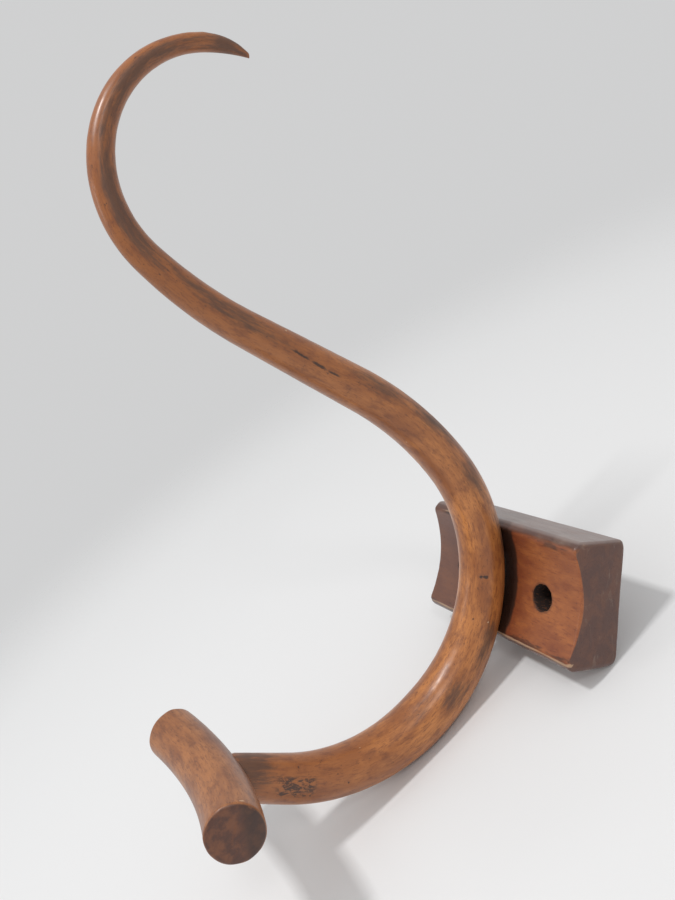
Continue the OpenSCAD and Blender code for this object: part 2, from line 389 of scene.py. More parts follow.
class Finish:
    """A quantity that varies over a surface. It wraps a node's output, and sums on it add Math nodes."""

    def __init__(self, tree, socket=None):
        self.tree = tree
        self.socket = socket

    def node(self, kind, settings=None, sockets=None, out=0):
        """Adds a node: first its settings, then the values or links of its sockets."""
        made = self.tree.nodes.new(kind)
        for name, value in (settings or {}).items():
            setattr(made, name, value)
        for name, value in (sockets or {}).items():
            if isinstance(value, Finish):
                self.tree.links.new(value.socket, made.inputs[name])
            else:
                made.inputs[name].default_value = value
        return Finish(self.tree, made.outputs[out])

    def math(self, operation, *others):
        values = dict(enumerate(others))
        return self.node("ShaderNodeMath", {"operation": operation}, values)

    def __add__(self, other):
        return self.math("ADD", self, other)

    def __sub__(self, other):
        return self.math("SUBTRACT", self, other)

    def __mul__(self, other):
        return self.math("MULTIPLY", self, other)

    def __rsub__(self, other):
        return self.math("SUBTRACT", other, self)

    __radd__ = __add__
    __rmul__ = __mul__

    def rise(self, low, high):
        """0 below low, 1 above high, and a smooth step between. With low above high it falls."""
        limits = {"Value": self, "From Min": low, "From Max": high}
        return self.node("ShaderNodeMapRange", {"interpolation_type": "SMOOTHSTEP"}, limits)

    def sine(self):
        """Even waves from -1 to 1."""
        return self.math("SINE", self)

    def most(self, other):
        return self.math("MAXIMUM", self, other)

    def absolute(self):
        return self.math("ABSOLUTE", self)

    def mix(self, first, second):
        """The first colour where this is 0, and the second where it is 1."""
        sockets = {0: self, 6: first, 7: second}
        return self.node("ShaderNodeMix", {"data_type": "RGBA"}, sockets, 2)

    def vector(self, operation, other=None, out="Vector"):
        """A sum on this place's three directions at once."""
        sockets = {0: self} if other is None else {0: self, 1: other}
        return self.node("ShaderNodeVectorMath", {"operation": operation}, sockets, out)

    def stretched(self, x, y, z):
        """This place with its three directions scaled, for grain that is longer one way."""
        return self.vector("MULTIPLY", (x, y, z))

    def noise(self, scale, detail=4, roughness=0.55, distortion=0):
        """Cloudy noise at this place, from about 0.25 to 0.75, in lumps of one over the scale."""
        sockets = {
            "Vector": self,
            "Scale": scale,
            "Detail": detail,
            "Roughness": roughness,
            "Distortion": distortion,
        }
        return self.node("ShaderNodeTexNoise", None, sockets)

    def place(self):
        """Where on the piece, in metres."""
        return self.node("ShaderNodeTexCoord", None, None, "Object")

    def mark(self, name, out="Fac"):
        """What the mesh holds for each of its points under this name."""
        return self.node("ShaderNodeAttribute", {"attribute_name": name}, None, out)

    def part(self, axis):
        """One of this place's three directions, by its letter."""
        return self.node("ShaderNodeSeparateXYZ", None, {0: self}, "XYZ".index(axis))


def finish_start(name):
    """A new material with its shader: gives the material, a Finish to build on, and the shader."""
    material = bpy.data.materials.new(name)
    material.use_nodes = True
    shader = material.node_tree.nodes["Principled BSDF"]
    return material, Finish(material.node_tree), shader


def coat(piece, material):
    """Gives a piece its only material."""
    piece.data.materials.clear()
    piece.data.materials.append(material)


def connect(start, shader, **links):
    """Joins what varies to the shader's sockets, whose names have spaces for underscores."""
    for name, value in links.items():
        start.tree.links.new(value.socket, shader.inputs[name.replace("_", " ")])


def settle(shader, **values):
    """Sets what is the same all over on the shader's own sockets, named as in connect."""
    for name, value in values.items():
        shader.inputs[name.replace("_", " ")].default_value = value


def relief(start, height, strength, distance):
    """The surface's direction as if it stood up by a height of up to a distance."""
    sockets = {"Height": height, "Strength": strength, "Distance": distance}
    return start.node("ShaderNodeBump", None, sockets)


def varnished_beech(name, pale, deep, red, gloss, aged=None, dark_marks=None):
    """Varnished beech seen along its grain. From the grain's own place it builds up cloudy patches
    of two browns, streaks, growth lines, short dark ray flecks, pores, dirt and, on the arm's curl,
    painted shade, and a gloss that breaks up over fine ripples. The grain runs along X of that place.
    aged tells where the varnish has darkened, and dark_marks where there are dents and splits."""
    material, start, shader = finish_start(name)
    grain = start.mark("unbent", "Vector")
    clouds = grain.stretched(0.35, 1, 1).noise(70, 5, 0.6)
    patches = grain.stretched(0.5, 1, 1).noise(190, 4, 0.65)
    streaks = grain.stretched(0.1, 1, 1).noise(480, 4, 0.65, 0.3)
    colour = clouds.rise(0.36, 0.64).mix(pale, deep)
    if aged:
        colour = aged(grain).mix(colour, deep)
    colour = (patches.rise(0.46, 0.7) * 0.62).mix(colour, red)
    colour = (streaks.rise(0.48, 0.68) * 0.34).mix(colour, red)
    # growth lines: planes across the rod, wavering along it
    waver = grain.stretched(0.12, 1, 1).noise(60, 3, 0.5)
    across = grain.part("Z") * 0.82 + grain.part("Y") * 0.57
    lines = (across * 3300 + waver * 16).sine().rise(0.1, 1)
    colour = (lines * 0.2).mix(colour, deep)
    flecks = grain.stretched(0.16, 1, 1).noise(1250, 2, 0.5).rise(0.57, 0.66)
    colour = (flecks * 0.55).mix(colour, red)
    pores = grain.stretched(0.4, 1, 1).noise(2300, 1, 0.5).rise(0.68, 0.75)
    colour = (pores * 0.6).mix(colour, near_black)
    spots = grain.stretched(0.6, 1, 1).noise(420, 3, 0.7).rise(0.66, 0.72)
    colour = (spots * 0.6).mix(colour, near_black)
    dark_patches = start.mark("grime_and_shade")
    broken = grain.stretched(0.14, 1, 1).noise(430, 5, 0.72, 0.2)
    dirt_and_shade = (dark_patches + (broken - 0.5) * 1.9 * dark_patches.rise(0.02, 0.35)).rise(0.25, 0.95)
    colour = (dirt_and_shade * 0.78).mix(colour, grime_and_shade_brown)
    if dark_marks:
        colour = (dark_marks(start, grain) * 0.9).mix(colour, split_brown)
    missing = start.mark("flaked")
    colour = (missing.rise(0.4, 0.7) * 0.8).mix(colour, raw_beech)
    ripples = grain.stretched(0.3, 1, 1).noise(560, 2, 0.5)
    height = ripples * 0.6 + (1 - flecks) * 0.15 + (1 - pores) * 0.15 + broken * dirt_and_shade * 0.3
    rough = ripples * 0.2 + dirt_and_shade * 0.2 + patches * 0.14 + gloss
    normal = relief(start, height, 0.24, 0.3 * mm)
    connect(start, shader, Base_Color=colour, Roughness=rough, Normal=normal)
    settle(shader, IOR=varnish_ior, Coat_Weight=0.22, Coat_Roughness=0.26)
    return material


varnish_ior = 1.5
near_black = (0.022, 0.012, 0.009, 1)
grime_and_shade_brown = (0.07, 0.037, 0.025, 1)
split_brown = (0.03, 0.014, 0.009, 1)
raw_beech = (0.62, 0.42, 0.26, 1)
honey = (0.53, 0.2, 0.052, 1)
chestnut = (0.3, 0.098, 0.025, 1)
russet = (0.17, 0.05, 0.017, 1)


def darker_ends(grain):
    """The varnish darkens towards the upper hook, and over the last stretch before the crossbar."""
    s = grain.part("X")
    above = s.rise(30 * mm, 330 * mm) * 0.9
    return above.most(s.rise(-90 * mm, -190 * mm) * 0.75)


# The split's strokes as (middle, half length, half width) in mm, and how it slants across the grain
split_strokes = ((207, 8.5, 0.6), (195, 7, 0.9), (185, 6, 0.45))
split_at = 205 * mm
split_slope = -0.045
bruise_at = -194 * mm


def split_and_dents(start, grain):
    """Dark marks: the split in the shank, which is three short strokes along the grain, each a ragged
    band about a line that wavers and thin towards its ends; a bruise of crushed, blackened fibres
    above the crossbar; and the dents."""
    s, y, z = (grain.part(axis) for axis in "XYZ")
    slow = grain.stretched(0.3, 1, 1).noise(160, 3, 0.6) - 0.5
    quick = grain.stretched(0.5, 1, 1).noise(900, 3, 0.7) - 0.5
    height = (z - slow * 2.2 * mm - quick * 1.5 * mm - (s - split_at) * split_slope).absolute()
    strokes = None
    for middle, half_len, half_width in split_strokes:
        taper = (s - middle * mm).absolute().rise(half_len * mm, half_len * 0.3 * mm)
        stroke = (height - taper * half_width * mm).rise(0.35 * mm, -0.3 * mm) * taper
        strokes = stroke if strokes is None else strokes.most(stroke)
    strokes = strokes * y.rise(0, 4 * mm)
    crushed = grain.stretched(0.5, 1, 1).noise(340, 4, 0.72, 1.2).rise(0.45, 0.55)
    along = (s - bruise_at).absolute().rise(15 * mm, 9 * mm)
    round_rod = (z - 1 * mm).absolute().rise(7 * mm, 4 * mm) * y.rise(4 * mm, 8 * mm)
    bruise = crushed * along * round_rod * 0.95
    dented = start.mark("dents")
    return strokes.most(bruise).most(dented.rise(0.35, 0.75))


coat(arm, varnished_beech("arm_varnish", honey, chestnut, russet, 0.18, darker_ends, split_and_dents))
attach(arm, "root")
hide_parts("hook_arm")


# ---- The crossbar ----------------------------------------------------------------------------
# A length of round beech, bent to a shallow bow and sawn off square at both ends, which hands have
# worn round. The arm's hollowed end sits on its middle, glued and held by a dowel.

bar_r = bar_d / 2
bar_len = 122 * mm
arris = 2 * mm  # width of the worn edge round each end
bar_turns = np.linspace(0, 2 * np.pi, rod_sides, endpoint=False)
face_steps = 12


def bar_half(side):
    """Distance along the bar and radius, from the bar's middle out over the worn edge and in to the
    middle of the end face: a straight, a quarter round and rings that shrink."""
    reach = bar_len / 2 - arris
    body = np.linspace(0, reach, 56)
    bend = np.linspace(0, np.pi / 2, 8)[1:]
    face = np.linspace(1, 0.04, face_steps)[1:]
    along = np.concatenate([body, reach + arris * np.sin(bend), np.full(face_steps - 1, bar_len / 2)])
    radius = np.concatenate([bar_r + 0 * body, bar_r - arris * (1 - np.cos(bend)), (bar_r - arris) * face])
    return side * along, radius


left_along, left_radius = bar_half(-1)
right_along, right_radius = bar_half(1)
bar_along = np.concatenate([left_along[::-1], right_along[1:]])[:, None]
bar_radius = np.concatenate([left_radius[::-1], right_radius[1:]])[:, None]
on_face = np.clip((bar_r - arris * 0.12 - bar_radius) / (arris * 0.3), 0, 1)
edge_worn = np.clip(1 - np.abs(bar_radius - (bar_r - arris * 0.45)) / (arris * 0.6), 0, 1)
edge_worn = edge_worn * (np.abs(bar_along) > bar_len / 2 - 2 * arris)
bar_flat = np.stack(
    [bar_along + 0 * bar_turns, bar_radius * np.cos(bar_turns), bar_radius * np.sin(bar_turns)], -1
)
# Hollows worn in the edges, saw marks on the end faces, and a section a little out of round. It all
# stays under the full size, by a small allowance on the rod and on its ends.
uneven_depth, edge_depth, saw_depth = 0.14 * mm, 0.5 * mm, 0.12 * mm
rod_allowance, end_allowance = 0.05 * mm, 0.1 * mm
bar_uneven = uneven_depth * unevenness(bar_flat * (0.15, 1, 1), 6 * mm, 11)
bar_worn = edge_depth * edge_worn * (unevenness(bar_flat, 5 * mm, 12) - 0.2)
outwards = on_face * np.sign(bar_along)
saw_marks = saw_depth * unevenness(bar_flat * (0, 1, 0.15), 1.6 * mm, 13) * outwards
ring_r = bar_radius + (bar_uneven + bar_worn - rod_allowance) * (1 - on_face)
angle = (bar_along + saw_marks - end_allowance * outwards) / bar_bend_r
out = bar_bend_r + ring_r * np.cos(bar_turns)
bar_rings = np.stack(
    [out * np.sin(angle), bar_bend_r - out * np.cos(angle), ring_r * np.sin(bar_turns)], -1
)


# Grime round the joint, where it faces the arm, and on the ends, where hands take it
joint_reach, end_reach = 16 * mm, 9 * mm
near_joint = np.exp(-((np.hypot(bar_flat[..., 0], bar_flat[..., 2]) / joint_reach) ** 6))
facing_arm = np.clip(bar_flat[..., 1] / bar_r, 0, 1)
ends_handled = 0.25 * np.exp(-(((np.abs(bar_flat[..., 0]) - bar_len / 2) / end_reach) ** 2))
bar_grime = 0.85 * near_joint * facing_arm + ends_handled
# One short scratch through the varnish, near the right end: a bell, longer round the rod than along
scratch_at, scratch_degrees, scratch_size = 57.8 * mm, -90, 1.3 * mm
scratch_along = (bar_flat[..., 0] - scratch_at) / 0.6
scratch_round = (np.abs(round_distance(bar_turns, scratch_degrees)) / 5) * mm
scratched = np.exp(-((np.hypot(scratch_along, scratch_round) / scratch_size) ** 2))
scratched = scratched * (bar_radius > bar_r * 0.8)
bar = shell(
    "curved_crossbar",
    bar_rings,
    {
        "unbent": bar_flat,
        "grime_and_shade": bar_grime,
        "flaked": scratched,
        "end_face": on_face * np.ones(len(bar_turns)),
        "edge_worn": edge_worn * np.ones(len(bar_turns)),
    },
)
bar.data.transform(to_arm_end)
bar_hole_mouth, bar_hole_bottom = -30 * mm, 5.3 * mm
bar_hole = [(bar_hole_mouth, dowel_hole_r), (bar_hole_bottom, dowel_hole_r)]
bar_dowel_hole = turned_rod("bar_dowel_hole", bar_hole)
bar_dowel_hole.data.transform(to_arm_end)
cut(bar, [bar_dowel_hole])
smooth(bar, 50)

bar_tan = (0.4, 0.155, 0.05, 1)
bar_brown = (0.24, 0.082, 0.028, 1)
bar_red = (0.15, 0.05, 0.022, 1)
end_brown = (0.085, 0.03, 0.017, 1)
end_line = (0.055, 0.022, 0.014, 1)


def end_grain(start, grain, colour):
    """Sawn end: dark with varnish it has soaked up, crossed by slanting growth lines, with a stain
    near the edge and the arris rubbed pale."""
    face = start.mark("end_face")
    worn = start.mark("edge_worn")
    slant = grain.part("Y") * 0.8 + grain.part("Z") * 0.6
    waver = grain.stretched(0, 1, 1).noise(90, 2, 0.5)
    lines = (slant * 2400 + waver * 9).sine().rise(-0.2, 0.9)
    cloud = grain.noise(160, 4, 0.6).rise(0.4, 0.65)
    wood = (lines * 0.3).mix(end_brown, end_line)
    wood = (cloud * 0.5).mix(wood, bar_brown)
    stain = (grain.part("Y") - grain.part("Z") * 0.4 + cloud * 3 * mm).rise(3 * mm, 9 * mm)
    wood = (stain * 0.6).mix(wood, near_black)
    rubbed = (worn + (grain.noise(170, 3, 0.6) - 0.5) * 3.2).rise(1.0, 1.5)
    colour = face.mix(colour, wood)
    return (rubbed * 0.45).mix(colour, bar_tan)


bar_finish = varnished_beech("bar_varnish", bar_tan, bar_brown, bar_red, 0.26)
bar_start = Finish(bar_finish.node_tree)
bar_shader = bar_finish.node_tree.nodes["Principled BSDF"]
side_colour = Finish(bar_finish.node_tree, bar_shader.inputs["Base Color"].links[0].from_socket)
bar_grain = bar_start.mark("unbent", "Vector")
connect(bar_start, bar_shader, Base_Color=end_grain(bar_start, bar_grain, side_colour))
coat(bar, bar_finish)
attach(bar, "root")
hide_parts("crossbar")


# ---- The wall block --------------------------------------------------------------------------
# A planed beech board with a hollow run along its face, bevelled long edges and gently domed ends.
# Two counterbored holes take the wall screws, and the arm sits in notches in the two ridges.

bevel_h = 4 * mm
bevel_t = 4 * mm
ridge_flat = 1.5 * mm
back_edge_r = 5 * mm
end_crown = 1.5 * mm
end_edge_r = 1.6 * mm
block_len = block_high.x - block_low.x
half_h = block_high.z
block_t = -block_low.y
ridge_z = half_h - bevel_h
cove_z = ridge_z - ridge_flat
cove_r = (cove_z**2 + cove_depth**2) / (2 * cove_depth)


def quarter(centre, r, start, end):
    """Points on an arc about a centre, from one angle to another in degrees."""
    a = np.radians(np.linspace(start, end, 12))
    return np.stack([centre[0] + r * np.cos(a), centre[1] + r * np.sin(a)], -1)


def block_outline(spacing):
    """The board's end outline as (forward, up): the back's round edges, the bevels and the cove's
    arc, spaced evenly round it and averaged over a short length, which rounds every corner."""
    back_z = half_h - back_edge_r
    z = np.linspace(cove_z, -cove_z, 60)
    hollow = np.stack([block_t - cove_depth + cove_r - np.sqrt(cove_r**2 - z**2), z], -1)
    front = block_t - bevel_t
    corners = np.concatenate(
        [
            quarter((back_edge_r, back_z), back_edge_r, 180, 90),
            [[front, half_h], [block_t, ridge_z]],
            hollow,
            [[block_t, -ridge_z], [front, -half_h]],
            quarter((back_edge_r, -back_z), back_edge_r, 270, 180),
        ]
    )
    closed = np.concatenate([corners, corners[:1]])
    run = np.concatenate([[0], np.cumsum(np.linalg.norm(np.diff(closed, axis=0), axis=1))])
    count = int(run[-1] / spacing)
    even = np.linspace(0, run[-1], count, endpoint=False)
    outline = np.stack([np.interp(even, run, closed[:, k]) for k in (0, 1)], -1)
    reach = range(-2, 3)
    return sum(np.roll(outline, k, axis=0) for k in reach) / len(reach)


outline_step = 0.75 * mm
outline = block_outline(outline_step)
outline_middle = np.array([block_t * 0.45, 0])
spoke = outline - outline_middle
spoke_len = np.linalg.norm(spoke, axis=1)
half_t = block_t / 2
dome_r = (half_t**2 + end_crown**2) / (2 * end_crown)


def block_half(side):
    """How far out each ring is, how far it is drawn in from the outline, and how much of the outline's
    size is left: straight along the board, round the end's edge, then shrinking over the end face."""
    reach = block_len / 2 - end_edge_r
    body = np.linspace(0, reach, 92)
    bend = np.linspace(0, np.pi / 2, 6)[1:]
    face = np.linspace(1, 0.03, 26)[1:]
    out = np.concatenate([body, reach + end_edge_r * np.sin(bend), 0 * face + block_len / 2])
    drawn = np.concatenate([0 * body, end_edge_r * (1 - np.cos(bend)), 0 * face + end_edge_r])
    left = np.concatenate([1 + 0 * body, 1 + 0 * bend, face])
    return side * out, drawn, left


halves = [block_half(side) for side in (-1, 1)]
ring_x, drawn_in, left_size = (np.concatenate([a[::-1], b[1:]])[:, None] for a, b in zip(*halves))
size = left_size * (1 - drawn_in / spoke_len)
forward = outline_middle[0] + spoke[:, 0] * size
up = outline_middle[1] + spoke[:, 1] * size
dome = dome_r - np.sqrt(dome_r**2 - (forward - half_t) ** 2)
dome_reach = 8 * mm  # the dome's shape fades into the even body over this length
near_end = np.clip((np.abs(ring_x) - block_len / 2 + dome_reach) / dome_reach, 0, 1)
block_x = ring_x - np.sign(ring_x) * dome * near_end
block_flat = np.stack([block_x, forward, up], -1)

# Wear: chips out of both ridges, a soft ripple from the plane, knocks round the end edges
upper_chip, lower_chip = 1.5 * mm, 0.9 * mm  # half widths of the chipped bands
at_front = forward > block_t - bevel_t
on_upper = np.exp(-(((up - ridge_z) / upper_chip) ** 2)) * at_front
on_lower = np.exp(-(((up + ridge_z) / lower_chip) ** 2)) * at_front
chipped_upper = np.clip(unevenness(block_flat * (0.28, 1, 1), 3.5 * mm, 21) * 2.4 - 0.7, 0, 1) * on_upper
chipped_lower = np.clip(unevenness(block_flat * (0.12, 1, 1), 3 * mm, 22) * 2 + 0.75, 0, 1) * on_lower
chips = np.clip(chipped_upper + 0.8 * chipped_lower, 0, 1)
on_end_edge = (drawn_in > 0.1 * mm) * (left_size > 0.985)
end_knocks = on_end_edge * np.clip(unevenness(block_flat, 4 * mm, 23), 0, 1)
upper_depth, lower_depth, knocked_depth = 1.1 * mm, 0.55 * mm, 0.4 * mm
planed_depth, sawn_depth = 0.08 * mm, 0.09 * mm
planed = planed_depth * unevenness(block_flat * (0.1, 1, 1), 7 * mm, 24)
lost = upper_depth * chipped_upper + lower_depth * chipped_lower + knocked_depth * end_knocks
sunk = (lost - planed) / spoke_len
forward = forward - spoke[:, 0] * sunk
up = up - spoke[:, 1] * sunk
rough_end = np.clip((1 - left_size) / 0.02, 0, 1)
block_x = block_x + sawn_depth * unevenness(block_flat * (1, 1, 0.4), 3 * mm, 25) * rough_end
block = shell(
    "coved_block",
    np.stack([block_x, -forward, up], -1),
    {"chips": chips + 0.3 * end_knocks, "sawn_end": np.clip(rough_end + 0 * up, 0, 1)},
)

# What is cut out of it: the arm's notches, the wall screws' holes and the arm screws' countersinks
notch_reach = 2.2 * block_t
notch_gap = 0.3 * mm
notch_s = np.linspace(-notch_reach, notch_reach, 110)
notch_grid = np.meshgrid(notch_s, arm_turns, indexing="ij")
notch = shell("notch", arm_rings(*notch_grid, notch_gap)[0])
wall_hole_x = 40 * mm
wall_hole_z = -3 * mm
wall_hole_r = 4.5 * mm
counterbore_r = 8.5 * mm
counterbore_floor = cove_bottom_y + 14 * mm
past = 1 * mm  # cutters pass the surfaces that they cut by this much


def torn_rim(seed):
    """Torn fibres round a bored hole: an uneven radius, worst at the mouth, with ripples down the bore."""

    def rim(y, turn):
        place = np.stack([9 * np.cos(turn) + 0 * y, 9 * np.sin(turn) + 0 * y, y / mm + 0 * turn], -1)
        mouth = np.clip((cove_bottom_y + 4 * mm - y) / (6 * mm), 0, 1)
        wide = (y < counterbore_floor - 0.01 * mm) * 1.0
        fine = unevenness(place, 1.7, seed)
        coarse = unevenness(place, 4.5, seed + 1)
        return wide * mm * (0.1 * fine + mouth * (0.5 * np.maximum(fine, -0.3) + 0.45 * coarse))

    return rim


bore_y = np.linspace(-block_t - past, counterbore_floor - 0.02 * mm, 28)
bore_profile = [(y, counterbore_r) for y in bore_y]
bore_profile += [(counterbore_floor, r * mm) for r in (8.3, 7, 5.5)]
bore_profile += [(counterbore_floor + 0.5 * mm, wall_hole_r), (past, wall_hole_r)]
bores = [
    moved(turned_rod("bore", bore_profile, 72, torn_rim(seed)), side * wall_hole_x, wall_hole_z)
    for side, seed in ((-1, 31), (1, 37))
]
head_sink = 0.4 * mm
head_r = 4.6 * mm
head_h = 2.8 * mm
head_gap = 0.3 * mm
countersink = [
    (-block_t - past, screw_r + head_gap),
    (-head_sink - head_h, screw_r + head_gap),
    (-head_sink, head_r + head_gap),
    (past, head_r + head_gap),
]
sinks = [moved(turned_rod("sink", countersink), z=z) for z in screw_z]
cut(block, [notch, *bores, *sinks])
smooth(block, 38)

cove_orange = (0.4, 0.13, 0.034, 1)
cove_brown = (0.25, 0.07, 0.022, 1)
cove_red = (0.16, 0.036, 0.016, 1)
plum_brown = (0.1, 0.047, 0.036, 1)
end_umber = (0.14, 0.06, 0.038, 1)
ash_grey = (0.26, 0.185, 0.14, 1)
dust_and_sheen_grey = (0.34, 0.28, 0.26, 1)


def block_varnish():
    """The board's finish: orange-brown in the hollow, with fine ray flecks along the grain and redder
    patches by the arm, and a black band of painted shade round the arm; plum-brown and greyed outside
    it, with dust and a painted sheen along the top; umber on the sawn ends, pale where chipped, darker
    round the holes and black with painted shade inside them. The grain runs along X."""
    material, start, shader = finish_start("block_varnish")
    place = start.place()
    x, y, z = (place.part(axis) for axis in "XYZ")
    clouds = place.stretched(0.5, 1, 1).noise(55, 5, 0.6)
    patches = place.stretched(0.55, 1, 1).noise(150, 4, 0.6)
    from_arm = x.absolute()
    by_arm = (from_arm + (patches - 0.5) * 60 * mm).rise(42 * mm, 14 * mm)
    hollow = clouds.rise(0.36, 0.66).mix(cove_orange, cove_brown)
    hollow = (patches.rise(0.48, 0.7) * 0.45).most(by_arm * 0.75).mix(hollow, cove_red)
    lines = ((z * 1500 + y * 500) + place.stretched(0.1, 1, 1).noise(45, 3, 0.5) * 14).sine()
    hollow = (lines.rise(0.2, 1) * 0.22).mix(hollow, cove_brown)
    flecks = place.stretched(0.14, 1, 1).noise(1150, 2, 0.5).rise(0.57, 0.68)
    hollow = (flecks * 0.5).mix(hollow, cove_red)
    hollow = (x.rise(-14 * mm, -26 * mm) * 0.75).mix(hollow, plum_brown)
    # painted shade: a black band on the hollow round the arm, which stands just in front of it
    contact_shade = (from_arm + (clouds - 0.5) * 6 * mm).rise(17 * mm, 14.8 * mm)
    tiny = place.stretched(0.3, 1, 1).noise(2100, 1, 0.5).rise(0.68, 0.75)
    hollow = (tiny * 0.6).most(contact_shade * 0.93).mix(hollow, near_black)
    # outside the hollow: above and below the ridges, and the back
    up_from_ridge = z.absolute() - ridge_z + (patches - 0.5) * 3 * mm
    outside = up_from_ridge.rise(-1.5 * mm, 1 * mm).most(y.rise(-8 * mm, -4 * mm))
    skin = patches.rise(0.4, 0.66).mix(plum_brown, end_umber)
    skin = (flecks * 0.4).mix(skin, near_black)
    skin = (clouds.rise(0.5, 0.72) * 0.4).mix(skin, ash_grey)
    # pale grey along the top face and the top of the upper bevel: dust, and a painted sheen
    dust_and_sheen = z.rise(half_h - 2 * mm, half_h - 0.4 * mm) * (clouds * 0.5 + 0.2)
    skin = dust_and_sheen.mix(skin, dust_and_sheen_grey)
    colour = outside.mix(hollow, skin)
    sawn = start.mark("sawn_end")
    blotch = place.noise(85, 5, 0.65, 0.6)
    ends = blotch.rise(0.36, 0.64).mix(end_umber, plum_brown)
    scuffs = place.stretched(1, 1, 0.4).noise(120, 4, 0.7, 1.2).rise(0.56, 0.74)
    ends = (scuffs * 0.4).mix(ends, ash_grey)
    ends = (place.noise(900, 3, 0.6).rise(0.55, 0.72) * 0.3).mix(ends, near_black)
    colour = sawn.mix(colour, ends)
    chipped = start.mark("chips")
    torn = (chipped + (patches - 0.5) * 0.5).rise(0.2, 0.55)
    colour = (torn * 0.6).mix(colour, raw_beech)
    # a dark line under each chipped ridge, the holes' mouths darker, and painted shade inside the holes
    under_ridge = z.absolute() - (cove_z - 1.5 * mm)
    beside = (under_ridge + (patches - 0.5) * 5 * mm).rise(-2 * mm, 0.5 * mm)
    streaks = place.stretched(0.2, 1, 1).noise(240, 3, 0.6).rise(0.48, 0.6)
    ridge_darkening = beside * (1 - outside) * (1 - sawn) * streaks
    colour = (ridge_darkening * 0.65).mix(colour, near_black)
    one_side = place.vector("SUBTRACT", (0, 0, wall_hole_z)).vector("ABSOLUTE")
    bore_axis = one_side.vector("SUBTRACT", (wall_hole_x, 0, 0)).stretched(1, 0, 1)
    reach = bore_axis.vector("LENGTH", out="Value")
    near_bore = (reach + (patches - 0.5) * 3 * mm).rise(10 * mm, 8.6 * mm)
    # painted shade: the walls of the holes, behind the hollow's face, turn nearly black
    inside = near_bore * y.rise(cove_bottom_y - 0.3 * mm, cove_bottom_y + 1.2 * mm)
    inside = inside * y.rise(-0.2 * mm, -2 * mm)
    rimmed = near_bore * (1 - sawn) * 0.45
    colour = rimmed.most(inside * 0.93).mix(colour, near_black)
    fibres = place.stretched(1, 0.35, 1).noise(800, 3, 0.7).rise(0.56, 0.66)
    colour = (fibres * inside * 0.5).mix(colour, cove_orange)
    ripples = place.stretched(0.2, 1, 1).noise(520, 3, 0.6)
    height = ripples * 0.5 + (1 - flecks) * 0.3 + (1 - tiny) * 0.3 + blotch * sawn * 0.8
    rough = 0.24 + ripples * 0.2 + sawn * 0.26 + torn * 0.3 + inside * 0.3 + patches * 0.1
    normal = relief(start, height, 0.4, 0.4 * mm)
    connect(start, shader, Base_Color=colour, Roughness=rough, Normal=normal)
    settle(shader, IOR=varnish_ior, Coat_Weight=0.2, Coat_Roughness=0.25)
    return material


coat(block, block_varnish())
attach(block, "root")
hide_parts("wall_block")


# ---- The screws through the block ------------------------------------------------------------
# Two slotted countersunk steel wood screws, driven from the back before the hook went up. Their
# heads sit just under the back face, with a little rust, and their threads bite in the arm.

screw_len = 50 * mm
screw_point = 7 * mm
thread_pitch = 2.1 * mm
thread_from = 18 * mm
slot_w = 1.3 * mm
slot_depth = 1.3 * mm
dull_steel = (0.34, 0.32, 0.3, 1)
bright_steel = (0.52, 0.5, 0.47, 1)
rust_brown = (0.15, 0.062, 0.03, 1)


def screw_rings():
    """A screw along -Y with its head at 0: radius from the distance down the screw, a cone for the
    head, a plain shank, then a ridge that winds round once for every pitch, down to the point."""
    head_down = np.linspace(0.25 * mm, head_h, 8)
    down = np.concatenate([[0], head_down, np.arange(3, 50, 0.21) * mm, [screw_len]])
    turn = np.linspace(0, 2 * np.pi, 32, endpoint=False)
    head = np.interp(down, [0, 0.25 * mm, head_h], [head_r - 0.25 * mm, head_r, screw_r])
    shank = np.interp(down, [0, screw_len - screw_point, screw_len], [screw_r, screw_r, 0.25 * mm])
    plain = np.where(down < head_h, head, shank)[:, None]
    wound = ((down[:, None] / thread_pitch + turn / (2 * np.pi)) % 1 - 0.5) * 2
    groove = 0.26 * np.clip(np.abs(wound) * 1.7 - 0.5, 0, 1)
    cut_in = np.clip((down - thread_from) / (2 * mm), 0, 1)[:, None]
    r = plain * (1 - groove * cut_in)
    y = -head_sink - down[:, None] + 0 * turn
    return np.stack([r * np.cos(turn), y, r * np.sin(turn)], -1)


def box_between(name, low, high):
    """A closed block between two corners, for cutting with."""
    x, y, z = np.array([low, high]).T
    square = np.array([(x[0], z[0]), (x[1], z[0]), (x[1], z[1]), (x[0], z[1])])
    rings = np.stack([np.stack([square[:, 0], np.full(4, level), square[:, 1]], -1) for level in y])
    return shell(name, rings)


def old_steel():
    """Dull steel gone brown: bright metal in scratches, rust in patches, rougher where it is rusty."""
    material, start, shader = finish_start("old_steel")
    place = start.place()
    rust = place.noise(420, 5, 0.65).rise(0.42, 0.6)
    scratches = place.stretched(1, 1, 0.12).noise(2600, 2, 0.5).rise(0.5, 0.7)
    metal = scratches.mix(dull_steel, bright_steel)
    colour = (rust * 0.8).mix(metal, rust_brown)
    rough = 0.32 + rust * 0.4 + scratches * 0.08
    normal = relief(start, rust * 0.7 + scratches * 0.2, 0.4, 0.15 * mm)
    connect(start, shader, Base_Color=colour, Roughness=rough, Metallic=1 - rust * 0.8, Normal=normal)
    return material


